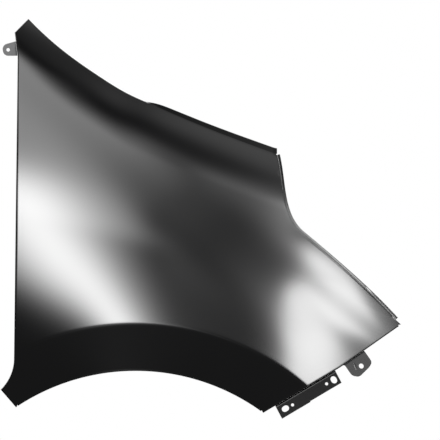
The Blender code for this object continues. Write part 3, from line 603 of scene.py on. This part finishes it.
def drill_hole(piece, place, direction, diameter):
    bpy.ops.object.select_all(action="DESELECT")
    bpy.ops.mesh.primitive_cylinder_add(vertices=DRILL_SIDES, radius=diameter / 2, depth=DRILL_LENGTH,
                                        location=place,
                                        rotation=direction.to_track_quat("Z", "Y").to_euler())
    drill = bpy.context.active_object
    bpy.context.view_layer.objects.active = piece
    cut = piece.modifiers.new("hole", "BOOLEAN")
    cut.operation = "DIFFERENCE"
    cut.solver = "EXACT"
    cut.object = drill
    bpy.ops.object.modifier_apply(modifier=cut.name)
    bpy.data.objects.remove(drill, do_unlink=True)


class Value:
    """A socket that can be used in sums, where each sum adds its Math node."""

    def __init__(self, tree, socket):
        self.tree = tree
        self.socket = socket

    def math(self, operation, *others):
        values = [self] + list(others)
        made = self.tree.add("ShaderNodeMath", {"operation": operation}, dict(enumerate(values)))
        return made

    def __add__(self, other):
        return self.math("ADD", other)

    def __radd__(self, other):
        return self.math("ADD", other)

    def __mul__(self, other):
        return self.math("MULTIPLY", other)

    def __rmul__(self, other):
        return self.math("MULTIPLY", other)

    def __sub__(self, other):
        return self.math("SUBTRACT", other)

    def __rsub__(self, other):
        return (self * -1.0) + other

    def __truediv__(self, other):
        return self.math("DIVIDE", other)


class Tree:
    """The nodes of one material or world."""

    def __init__(self, owner):
        owner.use_nodes = True
        self.nodes = owner.node_tree.nodes
        self.links = owner.node_tree.links
        self.nodes.clear()

    def node(self, kind, settings=None, inputs=None):
        made = self.nodes.new(kind)
        for name, value in (settings or {}).items():
            setattr(made, name, value)
        for name, value in (inputs or {}).items():
            if isinstance(value, Value):
                self.links.new(value.socket, made.inputs[name])
            else:
                made.inputs[name].default_value = value
        return made

    def add(self, kind, settings=None, inputs=None, output=0):
        return Value(self, self.node(kind, settings, inputs).outputs[output])


def noise(tree, place, scale, detail):
    return tree.add("ShaderNodeTexNoise", {"noise_dimensions": "3D"},
                    {"Vector": place, "Scale": scale, "Detail": detail, "Roughness": 0.5}, "Fac")


def coat_material(name, dark, pale, roughness, spread, peel_height, index):
    """Dip coat: slightly uneven in colour and gloss, with a fine orange peel."""
    material = bpy.data.materials.new(name)
    tree = Tree(material)
    place = tree.add("ShaderNodeTexCoord", output="Object")
    cloud = noise(tree, place, CLOUD_SCALE, 2.0)
    grain = noise(tree, place, GRAIN_SCALE, 1.0)
    peel = noise(tree, place, PEEL_SCALE, 2.0)
    colour = tree.add("ShaderNodeMix", {"data_type": "RGBA"},
                      {0: cloud, 6: (*dark, 1.0), 7: (*pale, 1.0)}, 2)
    gloss = (cloud - 0.5) * spread + (grain - 0.5) * spread + roughness
    normal = tree.add("ShaderNodeBump", None,
                      {"Strength": 1.0, "Distance": peel_height, "Height": peel}, "Normal")
    shader = tree.node("ShaderNodeBsdfPrincipled", None,
                       {"Base Color": colour, "Roughness": gloss, "Normal": normal, "IOR": index,
                        "Coat Weight": 1.0, "Coat Roughness": roughness,
                        "Coat IOR": index - COAT_INDEX_STEP})
    output = tree.node("ShaderNodeOutputMaterial")
    tree.links.new(shader.outputs[0], output.inputs["Surface"])
    return material


def soft_box(distance, half, edge):
    """1 within a half width of an angle and 0 outside, with soft bounds."""
    rising = ((distance + half) / edge).math("TANH")
    falling = ((distance - half) / edge).math("TANH")
    return (rising - falling) * 0.5


# How softly a light's edges run out, in degrees
HARD = 1.5
CRISP = 3.5
SOFT = 6
SOFTER = 7.5
VERY_SOFT = 10

# Studio lights in degrees, as seen from the part. "at" is how far a light stands to the front and its
# height, where 0 is level and 90 overhead. "half" is its half width and half height, "fade" the
# softness of its sides and its ends, and "turn" how far it leans over.
TALL_STRIP = {"at": (-8, -7), "half": (6, 28), "fade": (SOFTER, VERY_SOFT),
              "strength": 11, "turn": 0}
WIDE_BANK = {"at": (-1, 38), "half": (9.5, 36), "fade": (SOFT, CRISP),
             "strength": 1.9, "turn": 9}
FRONT_STRIP = {"at": (46, -8), "half": (5.5, 13), "fade": (HARD, CRISP),
               "strength": 5.5, "turn": -3}
FAR_FRONT_STRIP = {"at": (71, 17), "half": (5, 16), "fade": (CRISP, CRISP),
                   "strength": 8, "turn": 0}
LOW_FRONT_BOX = {"at": (49, -26), "half": (9, 17), "fade": (CRISP, HARD),
                 "strength": 1, "turn": 5}
FRONT_FILL = {"at": (40, 10), "half": (23, 18.5), "fade": (CRISP, VERY_SOFT),
              "strength": 0.87, "turn": -12}
FRONT_BOX = {"at": (55, 12), "half": (16, 11), "fade": (SOFT, SOFT),
             "strength": 3.2, "turn": 0}
HIGH_FILL = {"at": (33, 60), "half": (20, 27), "fade": (SOFT, VERY_SOFT),
             "strength": 0.4, "turn": -13}
TOP_BOX = {"at": (0, 122), "half": (34, 14), "fade": (VERY_SOFT, VERY_SOFT),
           "strength": 0.6, "turn": 0}
REAR_LIGHTS = (
    {"at": (30, 155), "half": (20, 25), "fade": (VERY_SOFT, VERY_SOFT), "strength": 3, "turn": 0},
    {"at": (-40, 140), "half": (25, 20), "fade": (VERY_SOFT, VERY_SOFT), "strength": 3, "turn": 0},
)

# Black flags, which take light away
HIGH_FLAG = {"at": (22, 55), "half": (20, 10), "fade": (VERY_SOFT, SOFT),
             "strength": -0.4, "turn": -50}
NARROW_FLAG = {"at": (50, 0), "half": (11, 2.5), "fade": (CRISP, HARD),
               "strength": -6.5, "turn": -45}
FRONT_FLAG = {"at": (27.5, 8), "half": (14, 8), "fade": (CRISP, VERY_SOFT),
              "strength": -1.15, "turn": -23}

STUDIO_LIGHTS = (TALL_STRIP, WIDE_BANK, FRONT_STRIP, FAR_FRONT_STRIP, LOW_FRONT_BOX, FRONT_FILL,
                 FRONT_BOX, HIGH_FILL, TOP_BOX, *REAR_LIGHTS, HIGH_FLAG, NARROW_FLAG, FRONT_FLAG)
STUDIO_DIM = 0.042


def studio_light(ahead, height, light):
    """What one light adds in each direction of the studio."""
    turn = math.radians(light["turn"])
    right = ahead - math.radians(light["at"][0])
    up = height - math.radians(light["at"][1])
    across = right * math.cos(turn) + up * math.sin(turn)
    along = up * math.cos(turn) - right * math.sin(turn)
    half_width, half_height = (math.radians(angle) for angle in light["half"])
    side, end = (math.radians(angle) for angle in light["fade"])
    lit = soft_box(across, half_width, side) * soft_box(along, half_height, end)
    return lit * light["strength"]


def build_world():
    """White for the camera; for everything else, a dim studio with soft boxes and black flags."""
    world = bpy.data.worlds.new("studio")
    bpy.context.scene.world = world
    tree = Tree(world)
    place = tree.add("ShaderNodeTexCoord", output="Generated")
    parts = tree.node("ShaderNodeSeparateXYZ", None, {0: place})
    x, y, z = (Value(tree, parts.outputs[k]) for k in range(3))
    ahead = x.math("ARCSINE")
    height = z.math("ARCTAN2", y * -1.0)
    light = studio_light(ahead, height, STUDIO_LIGHTS[0]) + STUDIO_DIM
    for fitting in STUDIO_LIGHTS[1:]:
        light = studio_light(ahead, height, fitting) + light
    light = light.math("MAXIMUM", 0.0)
    camera_ray = tree.add("ShaderNodeLightPath", output="Is Camera Ray")
    strength = light * (1 - camera_ray) + camera_ray
    background = tree.node("ShaderNodeBackground", None,
                           {"Color": (1.0, 1.0, 1.0, 1.0), "Strength": strength})
    output = tree.node("ShaderNodeOutputWorld")
    tree.links.new(background.outputs[0], output.inputs["Surface"])


def build_floor():
    """A pale floor, which the coat doesn't mirror."""
    bpy.ops.object.select_all(action="DESELECT")
    bpy.ops.mesh.primitive_plane_add(size=FLOOR_SIZE, location=(0.0, 0.0, FLOOR_HEIGHT))
    floor = bpy.context.active_object
    floor.name = "floor"
    material = bpy.data.materials.new("pale_floor")
    tree = Tree(material)
    shader = tree.node("ShaderNodeBsdfDiffuse", None,
                       {"Color": (FLOOR_GREY, FLOOR_GREY, FLOOR_GREY, 1.0)})
    output = tree.node("ShaderNodeOutputMaterial")
    tree.links.new(shader.outputs[0], output.inputs["Surface"])
    floor.data.materials.append(material)
    floor.visible_glossy = False
    floor.visible_diffuse = False
    floor.visible_shadow = False


def build_camera():
    camera = bpy.data.objects.new("camera", bpy.data.cameras.new("camera"))
    bpy.context.collection.objects.link(camera)
    camera.data.type = "ORTHO"
    camera.data.ortho_scale = PHOTO_WIDTH
    camera.location = (PHOTO_CENTRE[0] - BOLT_SEAT.x, -CAMERA_DISTANCE, PHOTO_CENTRE[1] - BOLT_SEAT.z)
    camera.rotation_euler = (math.radians(90), 0.0, 0.0)
    bpy.context.scene.camera = camera


build_camera()
build_world()
build_floor()
bpy.context.scene.view_settings.view_transform = "Standard"

panel_coat = coat_material("black_dip_coat",
                           dark=(0.0022, 0.0022, 0.0024), pale=(0.0032, 0.0032, 0.0035),
                           roughness=0.12, spread=0.01, peel_height=0.000002, index=1.8)
bracket_coat = coat_material("bracket_dip_coat",
                             dark=(0.005, 0.005, 0.0053), pale=(0.008, 0.008, 0.0083),
                             roughness=0.30, spread=0.05, peel_height=0.00002, index=1.35)
# The headlamp tab's coat is a lighter black than the bracket's: this paints in the sheen that the tab
# catches from the front lights
lamp_tab_coat = coat_material("painted_sheen_tab_coat",
                              dark=(0.018, 0.018, 0.0185), pale=(0.032, 0.032, 0.0325),
                              roughness=0.20, spread=0.08, peel_height=0.00001, index=1.65)
pillar_tab_coat = coat_material("pale_tab_coat",
                                dark=(0.080, 0.080, 0.082), pale=(0.110, 0.110, 0.112),
                                roughness=0.50, spread=0.05, peel_height=0.00002, index=1.5)

panel = build_panel()
panel.data.materials.append(panel_coat)
bpy.ops.object.select_all(action="DESELECT")
panel.select_set(True)
bpy.context.view_layer.objects.active = panel
bpy.ops.object.shade_smooth_by_angle(angle=math.radians(SMOOTH_ANGLE))
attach(panel, "root")
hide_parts("fender_panel")

bracket_coats = {"bumper_bracket": bracket_coat, "headlamp_tab": lamp_tab_coat,
                 "hinge_pillar_tab": pillar_tab_coat}
for name, coat in bracket_coats.items():
    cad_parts[name].material_slots[0].material = coat
